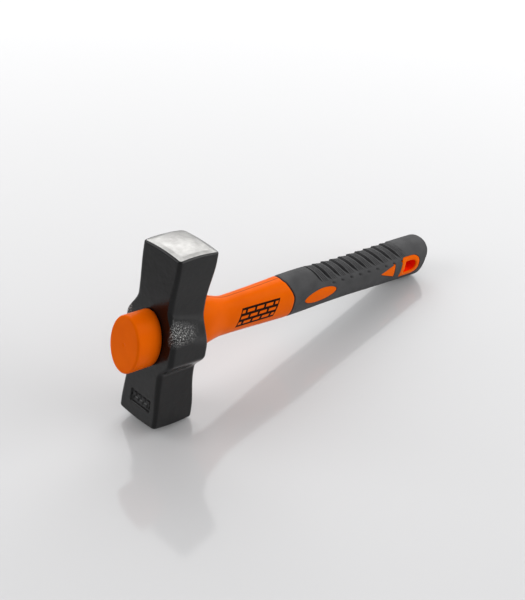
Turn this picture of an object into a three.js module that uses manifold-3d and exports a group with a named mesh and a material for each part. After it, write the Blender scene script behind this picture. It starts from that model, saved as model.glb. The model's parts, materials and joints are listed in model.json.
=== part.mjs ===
// Brick hammer: a forged two-faced mason's head on a glass-fibre handle with a moulded jacket and a soft grip.
// Millimetres, +Z up. The hammer lies as it is put down: on the rear edge of its lower face and on its butt.
// It is drawn in the head's own frame (head centre at the origin, +X along the handle to the butt, +Z up the
// striking axis), and the last lines turn it into its resting pose.
import * as THREE from "three";
import { mergeVertices } from "three/addons/utils/BufferGeometryUtils.js";
import Module from "manifold-3d";

const wasm = await Module();
wasm.setup();

// Fit between moulded, cast and forged pieces
const GAP = 0.3;

// Head
const HEAD_HALF_HEIGHT = 62.5;
const FACE_HALF_WIDTH = 18.3;
const FACE_HALF_DEPTH = 17.7;
const WAIST_HALF_WIDTH = 16.7;
const WAIST_HALF_DEPTH = 16.4;
const WAIST_HEIGHT = 25;
const FLARE_END = 54;
const EYE_BULGE = 7.5;
const BULGE_FLAT = 6;
const EDGE_RADIUS = 7;
const FACE_BEVEL = 2.4;
const FACE_CROWN = 1.7;
const FACE_LAND = 0.38;
const SHANK_END = 52;
const RING_STEP = 4;
const EYE_REAR = { z: 15.4, y: 10.6 };
const EYE_FRONT = { z: 17.2, y: 11.6 };

// Weight mark, a shallow sunk panel on the front of the head
const MARK = { y: -1.7, z: -45, halfWidth: 9.2, halfHeight: 4.6, depth: 0.8, radius: 1.2 };

// Handle outline: distance from the head centre, half height and half width
const HANDLE_STATIONS = [
  [17, 13.9, 9.3],
  [50, 14.0, 9.4],
  [81, 15.2, 10.1],
  [105, 15.8, 11.0],
  [119, 15.7, 11.3],
  [137, 14.8, 11.5],
  [156, 14.0, 11.8],
  [200, 14.1, 12.7],
  [225, 14.4, 13.1],
  [249, 14.5, 13.0],
];
const ROOT_FLARE = { start: 20, end: 46, z: 4.2, y: 3.2 };
const BUTT_X = 249;
const BUTT_ROUNDING = 9;
const SECTION_POWER = 2.2;
const RING_SPACING = 8;
const BUTT_RINGS = 5;
const STEM_START = -12.5;
const STEM_HALF_HEIGHT = 13.4;
const STEM_HALF_WIDTH = 8.9;

// Soft grip
const GRIP_WALL = 2.6;
const GRIP_START = 104.7;
const GRIP_TOP_REACH = 6.3;
const GROOVE_COUNT = 10;
const GROOVE_START = 125;
const GROOVE_PITCH = 9.1;
const GROOVE_DEPTH = 1.0;
const LEAF = { x: 130, z: -0.4, halfLength: 15.5, halfHeight: 5.3, slope: 0.1 };
const ARROW = { tip: 192, back: 207.5, halfHeight: 4.8 };
const COLLAR = { start: 214.5, straight: 12.5, halfHeight: 7.6 };
const HANG_HOLE = { start: 218.5, straight: 8.0, halfHeight: 4.3 };

// Cap on the front of the eye, and the rod inside the handle
const CAP_START = -16.7;
const CAP_END = -33.6;
const CAP_HALF_HEIGHT = 19.6;
const CAP_HALF_WIDTH = 13.2;
const CAP_EDGE = 1.6;
const CORE = { start: -28, end: 206, halfHeight: 9, halfWidth: 5.4 };

const finishes = {
  head: new THREE.MeshStandardMaterial({ color: 0x2d2d2f, roughness: 0.42, metalness: 0.2 }),
  orange: new THREE.MeshStandardMaterial({ color: 0xe66a10, roughness: 0.38, metalness: 0 }),
  grip: new THREE.MeshStandardMaterial({ color: 0x474747, roughness: 0.75, metalness: 0 }),
  core: new THREE.MeshStandardMaterial({ color: 0xd9cf9a, roughness: 0.5, metalness: 0 }),
  resin: new THREE.MeshStandardMaterial({ color: 0xa8884a, roughness: 0.35, metalness: 0 }),
};

const mix = THREE.MathUtils.lerp;
const ease = THREE.MathUtils.smoothstep;

// ---- surfaces carried through a row of rings ----

function skin(rings) {
  // Closed mesh through rings of equal point count, each end closed by a fan about its middle.
  const count = rings[0].length;
  const points = rings.flat();
  const index = [];
  for (let r = 0; r + 1 < rings.length; r += 1) {
    for (let i = 0; i < count; i += 1) {
      const a = r * count + i;
      const b = r * count + ((i + 1) % count);
      index.push(a, b, b + count, a, b + count, a + count);
    }
  }
  for (const [ring, flip] of [[0, true], [rings.length - 1, false]]) {
    const middle = new THREE.Vector3();
    rings[ring].forEach((p) => middle.addScaledVector(p, 1 / count));
    points.push(middle);
    for (let i = 0; i < count; i += 1) {
      const a = ring * count + i;
      const b = ring * count + ((i + 1) % count);
      index.push(points.length - 1, flip ? b : a, flip ? a : b);
    }
  }
  return new THREE.BufferGeometry().setFromPoints(points).setIndex(index);
}

function ovalRing(x, halfHeight, halfWidth, power = 2, count = 32) {
  // Superellipse across the handle at the distance x.
  const ring = [];
  for (let i = 0; i < count; i += 1) {
    const angle = (2 * Math.PI * i) / count;
    const c = Math.cos(angle);
    const s = Math.sin(angle);
    const y = Math.sign(c) * halfWidth * Math.abs(c) ** (2 / power);
    const z = Math.sign(s) * halfHeight * Math.abs(s) ** (2 / power);
    ring.push(new THREE.Vector3(x, y, z));
  }
  return ring;
}

function ovalBar(start, end, halfHeight, halfWidth) {
  return skin([ovalRing(start, halfHeight, halfWidth), ovalRing(end, halfHeight, halfWidth)]);
}

// ---- joining and cutting ----

function solid(geometry) {
  const bare = geometry.clone();
  bare.deleteAttribute("normal");
  bare.deleteAttribute("uv");
  const merged = mergeVertices(bare, 1e-4);
  const mesh = new wasm.Mesh({
    numProp: 3,
    vertProperties: new Float32Array(merged.attributes.position.array),
    triVerts: new Uint32Array(merged.index.array),
  });
  return new wasm.Manifold(mesh);
}

function part(name, body, material) {
  const mesh = body.getMesh();
  const geometry = new THREE.BufferGeometry();
  geometry.setAttribute("position", new THREE.BufferAttribute(mesh.vertProperties, 3));
  geometry.setIndex(new THREE.BufferAttribute(mesh.triVerts, 1));
  geometry.computeVertexNormals();
  const piece = new THREE.Mesh(geometry, material);
  piece.name = name;
  return piece;
}

function across(outline, low, high) {
  // Prism standing along Y from low to high, drawn by its outline in X and Z.
  const geometry = new THREE.ExtrudeGeometry(outline, { depth: high - low, bevelEnabled: false, curveSegments: 6 });
  geometry.rotateX(Math.PI / 2);
  geometry.translate(0, high, 0);
  return solid(geometry);
}

// ---- head ----

function headHalfWidth(z) {
  const height = Math.abs(z);
  const flare = ease(height, WAIST_HEIGHT, FLARE_END);
  const bulge = 1 - ease(height, BULGE_FLAT, WAIST_HEIGHT);
  return mix(WAIST_HALF_WIDTH, FACE_HALF_WIDTH, flare) + EYE_BULGE * bulge;
}

function headHalfDepth(z) {
  return mix(WAIST_HALF_DEPTH, FACE_HALF_DEPTH, ease(Math.abs(z), WAIST_HEIGHT, FLARE_END));
}

function headRing(halfDepth, halfWidth, radius, height) {
  // Rectangle with round corners; height gives z for a place across the section, from -1 to 1 each way.
  const ring = [];
  for (let corner = 0; corner < 4; corner += 1) {
    const xSign = [1, -1, -1, 1][corner];
    const ySign = [1, 1, -1, -1][corner];
    for (let step = 0; step <= 6; step += 1) {
      const angle = ((corner + step / 6) * Math.PI) / 2;
      const x = xSign * (halfDepth - radius) + radius * Math.cos(angle);
      const y = ySign * (halfWidth - radius) + radius * Math.sin(angle);
      ring.push(new THREE.Vector3(x, y, height(x / halfDepth, y / halfWidth)));
    }
  }
  return ring;
}

function crownedFace(sign) {
  // Rings of one striking face: a round bevel, then a shallow crown that ends in a flat land.
  const edge = HEAD_HALF_HEIGHT - FACE_CROWN - FACE_BEVEL;
  const drop = (u, v, k) => FACE_CROWN * (u * u + v * v) * (1 - (FACE_LAND / k) ** 2);
  const rings = [];
  for (let step = 0; step <= 3; step += 1) {
    const turn = (step / 3) * (Math.PI / 2);
    const inset = FACE_BEVEL * (1 - Math.cos(turn));
    const rise = FACE_BEVEL * Math.sin(turn);
    const bow = (u, v) => sign * (edge + rise + FACE_CROWN - (step / 3) * drop(u, v, 1) - (1 - step / 3) * FACE_CROWN);
    rings.push(headRing(FACE_HALF_DEPTH - inset, FACE_HALF_WIDTH - inset, EDGE_RADIUS - inset / 2, bow));
  }
  for (const k of [0.8, 0.6, FACE_LAND]) {
    const dome = (u, v) => sign * (HEAD_HALF_HEIGHT - k * k * drop(u, v, k));
    const depth = (FACE_HALF_DEPTH - FACE_BEVEL) * k;
    const width = (FACE_HALF_WIDTH - FACE_BEVEL) * k;
    rings.push(headRing(depth, width, (EDGE_RADIUS - FACE_BEVEL / 2) * k, dome));
  }
  return rings;
}

function headForging() {
  const shank = [];
  for (let z = -SHANK_END; z <= SHANK_END; z += RING_STEP) {
    shank.push(headRing(headHalfDepth(z), headHalfWidth(z), EDGE_RADIUS, () => z));
  }
  return solid(skin([...crownedFace(-1).reverse(), ...shank, ...crownedFace(1)]));
}

function eyeBar(shrink, low, high) {
  // The oval taper through the eye, wider at the front; shrink draws it smaller than the hole.
  const rings = [low, high].map((x) => {
    const t = (WAIST_HALF_DEPTH - x) / (2 * WAIST_HALF_DEPTH);
    return ovalRing(x, mix(EYE_REAR.z, EYE_FRONT.z, t) - shrink, mix(EYE_REAR.y, EYE_FRONT.y, t) - shrink);
  });
  return solid(skin(rings));
}

function markPanel() {
  const { halfWidth: a, halfHeight: b, radius: r } = MARK;
  const outline = new THREE.Shape();
  outline.absarc(a - r, b - r, r, 0, Math.PI / 2);
  outline.absarc(r - a, b - r, r, Math.PI / 2, Math.PI);
  outline.absarc(r - a, r - b, r, Math.PI, 1.5 * Math.PI);
  outline.absarc(a - r, r - b, r, 1.5 * Math.PI, 2 * Math.PI);
  const reach = 5;
  const geometry = new THREE.ExtrudeGeometry(outline, { depth: reach, bevelEnabled: false, curveSegments: 3 });
  geometry.rotateX(Math.PI / 2);
  geometry.rotateZ(-Math.PI / 2);
  geometry.translate(MARK.depth - headHalfDepth(MARK.z), MARK.y, MARK.z);
  return solid(geometry);
}

function makeHead() {
  const overshoot = 2 * FACE_HALF_DEPTH;
  return headForging().subtract(eyeBar(0, -overshoot, overshoot)).subtract(markPanel());
}

// ---- handle ----

const outlineZ = new THREE.CatmullRomCurve3(HANDLE_STATIONS.map(([x, z]) => new THREE.Vector3(x, z, 0)));
const outlineY = new THREE.CatmullRomCurve3(HANDLE_STATIONS.map(([x, , y]) => new THREE.Vector3(x, y, 0)));

function along(curve, x) {
  // Value of a station curve at the distance x, found by halving.
  let low = 0;
  let high = 1;
  for (let i = 0; i < 24; i += 1) {
    const t = (low + high) / 2;
    if (curve.getPoint(t).x < x) {
      low = t;
    } else {
      high = t;
    }
  }
  return curve.getPoint(low).y;
}

function handleRing(x, inset) {
  // Outside of the handle at x, drawn smaller by inset; the butt closes in along a quarter round.
  const root = 1 - ease(x, ROOT_FLARE.start, ROOT_FLARE.end);
  const into = Math.max(0, x - (BUTT_X - inset - BUTT_ROUNDING)) / BUTT_ROUNDING;
  const closing = BUTT_ROUNDING * (1 - Math.sqrt(Math.max(0, 1 - into * into)));
  const z = along(outlineZ, x) + ROOT_FLARE.z * root - inset - closing;
  const y = along(outlineY, x) + ROOT_FLARE.y * root - inset - closing;
  return ovalRing(x, z, y, SECTION_POWER);
}

function handleBody(start, inset) {
  const rings = [];
  const straight = BUTT_X - inset - BUTT_ROUNDING;
  const steps = Math.round((straight - start) / RING_SPACING);
  for (let i = 0; i <= steps; i += 1) {
    rings.push(handleRing(mix(start, straight, i / steps), inset));
  }
  for (let i = 1; i <= BUTT_RINGS; i += 1) {
    const reach = BUTT_ROUNDING * Math.sin((i / BUTT_RINGS) * (Math.PI / 2));
    rings.push(handleRing(straight + reach, inset));
  }
  return solid(skin(rings));
}

function gripEdge(z, halfHeight) {
  // Where the soft grip begins: straight on the sides, reaching towards the head over the top.
  const t = THREE.MathUtils.clamp((z / halfHeight - 0.1) / 0.85, 0, 1);
  return GRIP_START - GRIP_TOP_REACH * t * t;
}

function gripZone(shift) {
  const reach = 30;
  const halfHeight = along(outlineZ, GRIP_START);
  const outline = new THREE.Shape();
  outline.moveTo(BUTT_X + reach, -reach);
  outline.lineTo(BUTT_X + reach, reach);
  outline.lineTo(gripEdge(halfHeight, halfHeight) + shift, reach);
  for (let step = 0; step <= 8; step += 1) {
    const z = halfHeight * (1 - step / 8);
    outline.lineTo(gripEdge(z, halfHeight) + shift, z);
  }
  outline.lineTo(GRIP_START + shift, -reach);
  return across(outline, -reach, reach);
}

function leafOutline(grow) {
  const a = LEAF.halfLength + 2 * grow;
  const b = LEAF.halfHeight + grow;
  const shape = new THREE.Shape();
  shape.moveTo(LEAF.x - a, LEAF.z - a * LEAF.slope);
  shape.quadraticCurveTo(LEAF.x, LEAF.z - 2 * b, LEAF.x + a, LEAF.z + a * LEAF.slope);
  shape.quadraticCurveTo(LEAF.x, LEAF.z + 2 * b, LEAF.x - a, LEAF.z - a * LEAF.slope);
  return shape;
}

function arrowOutline(grow) {
  const shape = new THREE.Shape();
  shape.moveTo(ARROW.tip - 3 * grow, 0);
  shape.lineTo(ARROW.back + grow, -ARROW.halfHeight - 2 * grow);
  shape.lineTo(ARROW.back + grow, ARROW.halfHeight + 2 * grow);
  return shape;
}

function dOutline({ start, straight, halfHeight }, grow) {
  const shape = new THREE.Shape();
  shape.moveTo(start - grow, halfHeight + grow);
  shape.lineTo(start - grow, -halfHeight - grow);
  shape.absarc(start + straight, 0, halfHeight + grow, -Math.PI / 2, Math.PI / 2);
  return shape;
}

function windows(grow) {
  // The openings of the grip that the jacket fills: a leaf and an arrow on each side, and the collar right through.
  const reach = 20;
  const depth = 5;
  let all = across(dOutline(COLLAR, grow), -reach, reach);
  for (const outline of [leafOutline(grow), arrowOutline(grow)]) {
    all = all.add(across(outline, depth, reach)).add(across(outline, -reach, -depth));
  }
  return all;
}

function groove(index) {
  // Saw-tooth notch over the top of the grip: steep towards the head, running out towards the butt.
  const x = GROOVE_START + index * GROOVE_PITCH;
  const top = along(outlineZ, x);
  const shape = new THREE.Shape();
  shape.moveTo(x - 0.4, top + 3);
  shape.lineTo(x, top - GROOVE_DEPTH);
  shape.lineTo(x + 0.6 * GROOVE_PITCH, top + 0.2);
  shape.lineTo(x + 0.6 * GROOVE_PITCH, top + 3);
  return across(shape, -15, 15);
}

function makeJacket(outside, lining, hangHole) {
  const stem = solid(ovalBar(STEM_START, 20, STEM_HALF_HEIGHT, STEM_HALF_WIDTH));
  const sleeve = outside.subtract(gripZone(-GAP)).add(lining).add(outside.intersect(windows(0))).add(stem);
  const bore = solid(ovalBar(STEM_START - 5, CORE.end + GAP, CORE.halfHeight + GAP, CORE.halfWidth + GAP));
  return sleeve.subtract(bore).subtract(hangHole);
}

function makeGrip(outside) {
  const grooves = Array.from({ length: GROOVE_COUNT }, (_, index) => groove(index));
  const cavity = handleBody(GRIP_START - 12, GRIP_WALL);
  const sleeve = outside.intersect(gripZone(0)).subtract(cavity).subtract(windows(GAP));
  return grooves.reduce((shape, cut) => shape.subtract(cut), sleeve);
}

// ---- eye ----

function makeResin() {
  const inside = solid(ovalBar(-30, 30, STEM_HALF_HEIGHT + GAP, STEM_HALF_WIDTH + GAP));
  return eyeBar(GAP, STEM_START, WAIST_HALF_DEPTH - 1).subtract(inside);
}

function makeCap() {
  const rings = [0, 1, 2, 3].map((step) => {
    const turn = (step / 3) * (Math.PI / 2);
    const inset = CAP_EDGE * (1 - Math.sin(turn));
    const x = CAP_END + CAP_EDGE * (1 - Math.cos(turn));
    return ovalRing(x, CAP_HALF_HEIGHT - inset, CAP_HALF_WIDTH - inset, 2, 48);
  });
  rings.push(ovalRing(CAP_START, CAP_HALF_HEIGHT, CAP_HALF_WIDTH, 2, 48));
  const bore = solid(ovalBar(CORE.start - GAP, 0, CORE.halfHeight + GAP, CORE.halfWidth + GAP));
  return solid(skin(rings)).subtract(bore);
}

const outside = handleBody(WAIST_HALF_DEPTH + GAP, 0);
const lining = handleBody(GRIP_START - 14, GRIP_WALL + GAP);
const hangHole = across(dOutline(HANG_HOLE, 0), -20, 20);

const tool = new THREE.Group();
tool.add(
  part("head", makeHead(), finishes.head),
  part("eye_resin", makeResin(), finishes.resin),
  part("eye_cap", makeCap(), finishes.orange),
  part("fibre_core", solid(ovalBar(CORE.start, CORE.end, CORE.halfHeight, CORE.halfWidth)), finishes.core),
  part("jacket", makeJacket(outside, lining, hangHole), finishes.orange),
  part("grip", makeGrip(outside), finishes.grip),
);

// ---- resting pose ----

// The floor touches the round rear edge of the lower face and the round underside of the butt, so it is the
// common tangent of those two rounds.
const heel = {
  x: FACE_HALF_DEPTH - FACE_BEVEL,
  z: -(HEAD_HALF_HEIGHT - FACE_CROWN - FACE_BEVEL),
  radius: FACE_BEVEL,
};
const butt = {
  x: BUTT_X - BUTT_ROUNDING,
  z: BUTT_ROUNDING - along(outlineZ, BUTT_X - BUTT_ROUNDING),
  radius: BUTT_ROUNDING,
};
const span = Math.hypot(butt.x - heel.x, butt.z - heel.z);
const slope = Math.atan2(butt.z - heel.z, butt.x - heel.x) - Math.asin((butt.radius - heel.radius) / span);
tool.rotation.y = slope;
tool.updateMatrixWorld(true);
const box = new THREE.Box3().setFromObject(tool, true);
tool.position.set(-(box.min.x + box.max.x) / 2, -(box.min.y + box.max.y) / 2, -box.min.z);

const hammer = new THREE.Group();
hammer.add(tool);

export default hammer;
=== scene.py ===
"""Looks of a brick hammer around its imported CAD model.

The hammer has a forged black head with two ground striking faces. Orange plastic shows in the oval cap in
front of the eye, on the handle's bare neck, and as pads that stand flush in the windows of the dark soft
grip.

Lengths in the classes are millimetres in the hammer's own frame: the origin is the middle of the head, +X
runs along the handle to the butt, and +Z runs up the striking axis. HammerFrame reads where that frame
lies from the mounts on the two striking faces. Every finished mesh is laid there in metres, so each
object sits at the origin.
"""

import json
import logging
import math
from dataclasses import dataclass, field
from enum import Enum
from typing import Any, Mapping, Sequence

import bpy
import numpy as np
from mathutils import Matrix, Vector


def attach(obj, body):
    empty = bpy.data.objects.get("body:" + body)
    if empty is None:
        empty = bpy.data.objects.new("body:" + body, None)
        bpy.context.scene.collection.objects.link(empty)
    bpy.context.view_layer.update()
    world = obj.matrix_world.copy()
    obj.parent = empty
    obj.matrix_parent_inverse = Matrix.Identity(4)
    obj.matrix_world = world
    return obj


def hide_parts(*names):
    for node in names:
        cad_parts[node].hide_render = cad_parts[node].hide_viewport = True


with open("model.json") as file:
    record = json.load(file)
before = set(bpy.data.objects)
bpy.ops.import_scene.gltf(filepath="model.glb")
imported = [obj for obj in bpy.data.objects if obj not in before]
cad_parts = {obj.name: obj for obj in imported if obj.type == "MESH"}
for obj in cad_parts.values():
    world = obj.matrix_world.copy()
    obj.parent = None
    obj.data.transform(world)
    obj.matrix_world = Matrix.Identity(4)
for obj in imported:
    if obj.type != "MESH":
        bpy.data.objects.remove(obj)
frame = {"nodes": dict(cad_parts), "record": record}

LOG = logging.getLogger("brick_hammer")
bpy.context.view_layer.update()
BODY = "root"
MM = 0.001
TAU = 2.0 * math.pi


# ---------------------------------------------------------------------------------------------------------
# numbers and curves
# ---------------------------------------------------------------------------------------------------------


def linear(colour: str) -> tuple[float, float, float, float]:
    """Turns an sRGB hex colour such as "#E8640C" into the linear RGBA that shaders take.

    Args:
        colour: the colour as # and six hex digits.

    Returns:
        Linear red, green and blue, and an alpha of 1.
    """
    parts = [int(colour[i : i + 2], 16) / 255 for i in (1, 3, 5)]
    red, green, blue = (c / 12.92 if c <= 0.04045 else ((c + 0.055) / 1.055) ** 2.4 for c in parts)
    return red, green, blue, 1.0


def ease(value: Any, low: float, high: float) -> Any:
    """Goes from 0 at low to 1 at high along 3t^2 - 2t^3, the curve that starts and stops level."""
    t = np.clip((np.asarray(value, float) - low) / (high - low), 0.0, 1.0)
    return t * t * (3.0 - 2.0 * t)


def through(x: Any, stations: Sequence[tuple[float, float]]) -> np.ndarray:
    """Value at x of the smooth line through the stations.

    Between two stations it is the cubic that meets both and whose slopes there are those of the
    neighbouring stations.

    Args:
        x: places to read, an array.
        stations: pairs of place and value, in order.

    Returns:
        The values, in x's shape.
    """
    place, value = np.array(stations, float).T
    slope = np.gradient(value, place)
    x = np.clip(np.asarray(x, float), place[0], place[-1])
    i = np.clip(np.searchsorted(place, x) - 1, 0, len(place) - 2)
    step = place[i + 1] - place[i]
    t = (x - place[i]) / step
    rise = (3 - 2 * t) * t * t
    pull = t * (1 - t) * step * ((1 - t) * slope[i] - t * slope[i + 1])
    return value[i] + rise * (value[i + 1] - value[i]) + pull


# ---------------------------------------------------------------------------------------------------------
# the hammer's frame, and meshes on grids
# ---------------------------------------------------------------------------------------------------------


@dataclass(frozen=True)
class HammerFrame:
    """Where the hammer's own frame lies in the row frame, in metres."""

    centre: Vector
    slope: float
    half_height: float

    @classmethod
    def from_mounts(cls, mounts: Sequence[Mapping[str, Any]]) -> "HammerFrame":
        """Reads the frame from the mounts on the upper and lower striking faces.

        Args:
            mounts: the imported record's mounts.

        Returns:
            The frame: the head's middle in metres, the handle's downward slope in radians, and half the
            head's height in millimetres.
        """
        place = {m["name"]: Vector(m["pos_m"]) for m in mounts}
        up = place["upper_face"] - place["lower_face"]
        middle = (place["upper_face"] + place["lower_face"]) / 2
        return cls(middle, math.atan2(up.x, up.z), up.length / 2 / MM)

    def matrix(self) -> Matrix:
        """The matrix that carries millimetres in the hammer's frame to metres in the row frame."""
        return Matrix.Translation(self.centre) @ Matrix.Rotation(self.slope, 4, "Y") @ Matrix.Scale(MM, 4)


class Ends(Enum):
    """How the first and last rows of a grid are closed."""

    POLES = "each closed by a fan to the middle of the row"
    RING = "the last row joins the first"


@dataclass
class Shell:
    """A closed surface on a grid of points: rows follow a profile, and columns go round it.

    points is rows x columns x 3. finish holds the finish number of each row of faces, or is left out for 0.
    """

    points: np.ndarray
    ends: Ends = Ends.POLES
    finish: np.ndarray | None = None

    def vertices(self) -> np.ndarray:
        """Lists the grid's points in order, and then the two middles where the ends are poles.

        Returns:
            The points, one to a row.
        """
        flat = self.points.reshape(-1, 3)
        if self.ends is Ends.RING:
            return flat
        return np.vstack([flat, self.points[0].mean(0), self.points[-1].mean(0)])

    def faces(self) -> tuple[np.ndarray, np.ndarray, np.ndarray, np.ndarray]:
        """Joins each grid point to the next in its row and its column.

        Returns:
            The quads, their finish numbers, the triangles of the two fans, and their finish numbers.
        """
        rows, columns = self.points.shape[:2]
        band = self.finish if self.finish is not None else np.zeros(rows, int)
        last = rows if self.ends is Ends.RING else rows - 1
        row, column = np.meshgrid(np.arange(last), np.arange(columns), indexing="ij")
        following = (column + 1) % columns
        this_row = row * columns
        next_row = (row + 1) % rows * columns
        corners = [this_row + column, this_row + following, next_row + following, next_row + column]
        quads = np.stack(corners, axis=-1).reshape(-1, 4)
        quad_finish = np.repeat(band[:last], columns)
        if self.ends is Ends.RING:
            return quads, quad_finish, np.zeros((0, 3), int), np.zeros(0, int)
        first = np.arange(columns)
        after = (first + 1) % columns
        top = np.stack([np.full(columns, rows * columns), after, first], axis=-1)
        shift = (rows - 1) * columns
        bottom = np.stack([np.full(columns, rows * columns + 1), first + shift, after + shift], axis=-1)
        return quads, quad_finish, np.vstack([top, bottom]), np.repeat([band[0], band[-1]], columns)

    def outward(self) -> bool:
        """Tells whether the faces point out, from the sign of the volume that their triangles enclose.

        Returns:
            True when they do.
        """
        points = self.vertices()
        quads, _, fans, _ = self.faces()
        triangles = points[np.vstack([quads[:, [0, 1, 2]], quads[:, [0, 2, 3]], fans])]
        volume = np.einsum("ij,ij->i", triangles[:, 0], np.cross(triangles[:, 1], triangles[:, 2])).sum()
        return bool(volume > 0)


def build_mesh(
    name: str, shells: Sequence[Shell], finishes: Sequence[bpy.types.Material] = ()
) -> bpy.types.Object:
    """Puts one or more closed shells into one mesh object, in millimetres.

    Args:
        name: the object's name.
        shells: the closed surfaces.
        finishes: the materials, by finish number.

    Returns:
        The object, linked to the scene, with smooth faces that point out.
    """
    corners: list[np.ndarray] = []
    sizes: list[np.ndarray] = []
    numbers: list[np.ndarray] = []
    points: list[np.ndarray] = []
    offset = 0
    for shell in shells:
        quads, quad_finish, fans, fan_finish = shell.faces()
        if not shell.outward():
            quads, fans = quads[:, ::-1], fans[:, ::-1]
        corners += [quads.ravel() + offset, fans.ravel() + offset]
        sizes += [np.full(len(quads), 4), np.full(len(fans), 3)]
        numbers += [quad_finish, fan_finish]
        points.append(shell.vertices())
        offset += len(points[-1])
    mesh = bpy.data.meshes.new(name)
    size = np.concatenate(sizes)
    loops = np.concatenate(corners)
    mesh.vertices.add(offset)
    mesh.loops.add(len(loops))
    mesh.polygons.add(len(size))
    mesh.vertices.foreach_set("co", np.concatenate(points).astype(np.float32).ravel())
    mesh.loops.foreach_set("vertex_index", loops.astype(np.int32))
    mesh.polygons.foreach_set("loop_start", (np.cumsum(size) - size).astype(np.int32))
    for finish in finishes:
        mesh.materials.append(finish)
    mesh.polygons.foreach_set("material_index", np.concatenate(numbers).astype(np.int32))
    mesh.polygons.foreach_set("use_smooth", np.ones(len(size), bool))
    mesh.update(calc_edges=True)
    piece = bpy.data.objects.new(name, mesh)
    bpy.context.scene.collection.objects.link(piece)
    return piece


def cut(piece: bpy.types.Object, shells: Sequence[Shell]) -> None:
    """Cuts the shells' space out of a piece, and keeps the edges of the cut crisp.

    Args:
        piece: the object to cut, still in millimetres.
        shells: the closed surfaces whose inside is taken away.
    """
    cutter = build_mesh("cutter", shells)
    modifier = piece.modifiers.new("cut", "BOOLEAN")
    modifier.operation = "DIFFERENCE"
    modifier.solver = "EXACT"
    modifier.object = cutter
    graph = bpy.context.evaluated_depsgraph_get()
    whole = piece.data
    piece.data = bpy.data.meshes.new_from_object(piece.evaluated_get(graph))
    piece.modifiers.clear()
    bpy.data.meshes.remove(whole)
    bpy.data.objects.remove(cutter)


def settle(piece: bpy.types.Object, place: Matrix, crease: float = 48.0) -> None:
    """Lays a finished mesh in the row frame and lets it ride on the hammer's body.

    Args:
        piece: the object, in millimetres in the hammer's frame.
        place: the matrix from there to the row frame.
        crease: the angle in degrees from which an edge is drawn crisp.
    """
    piece.data.transform(place)
    piece.data.set_sharp_from_angle(angle=math.radians(crease))
    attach(piece, BODY)
    piece.data.update()
    LOG.info("%s: %d faces", piece.name, len(piece.data.polygons))


# ---------------------------------------------------------------------------------------------------------
# finishes
# ---------------------------------------------------------------------------------------------------------


def add(
    tree: bpy.types.NodeTree,
    kind: str,
    inputs: Mapping[str | int, Any] | None = None,
    **settings: Any,
) -> bpy.types.Node:
    """Adds a node with its settings, and sets or links its inputs.

    Args:
        tree: the node tree.
        kind: the node's type.
        inputs: socket name or number to a value, or to the output socket that feeds it.
        settings: the node's own properties.

    Returns:
        The node.
    """
    node = tree.nodes.new(kind)
    for key, value in settings.items():
        setattr(node, key, value)
    for key, value in (inputs or {}).items():
        if isinstance(value, bpy.types.NodeSocket):
            tree.links.new(value, node.inputs[key])
        else:
            node.inputs[key].default_value = value
    return node


@dataclass(frozen=True)
class Finish:
    """A surface finish. Its patterns are drawn in millimetres in the hammer's own frame."""

    place: HammerFrame

    def start(self, name: str) -> tuple[bpy.types.Material, bpy.types.NodeTree, bpy.types.Node]:
        """Makes an empty material whose patterns will be read in the hammer's frame.

        Args:
            name: the material's name.

        Returns:
            The material, its tree, and the Mapping node whose output is millimetres in the hammer's frame.
        """
        material = bpy.data.materials.new(name)
        material.use_nodes = True
        tree = material.node_tree
        tree.nodes.clear()
        where = add(tree, "ShaderNodeTexCoord")
        mapping = add(
            tree,
            "ShaderNodeMapping",
            {
                "Vector": where.outputs["Object"],
                "Location": self.place.centre,
                "Rotation": (0.0, self.place.slope, 0.0),
                "Scale": (MM, MM, MM),
            },
            vector_type="TEXTURE",
        )
        return material, tree, mapping

    def close(self, tree: bpy.types.NodeTree, shader: bpy.types.Node) -> None:
        """Joins the shader to the material's output."""
        add(tree, "ShaderNodeOutputMaterial", {"Surface": shader.outputs[0]})

    def noise(
        self, tree: bpy.types.NodeTree, where: Any, size: float, detail: float = 2.0
    ) -> bpy.types.NodeSocket:
        """Adds a cloudy pattern whose blotches are size millimetres across, and returns its value."""
        inputs = {"Vector": where, "Scale": 1.0 / size, "Detail": detail, "Roughness": 0.55}
        return add(tree, "ShaderNodeTexNoise", inputs).outputs["Fac"]

    def spread(self, tree: bpy.types.NodeTree, value: Any, low: float, high: float) -> bpy.types.NodeSocket:
        """Stretches a pattern's middle range to run from low to high."""
        inputs = {"Value": value, "From Min": 0.3, "From Max": 0.7, "To Min": low, "To Max": high}
        return add(tree, "ShaderNodeMapRange", inputs).outputs[0]


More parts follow.
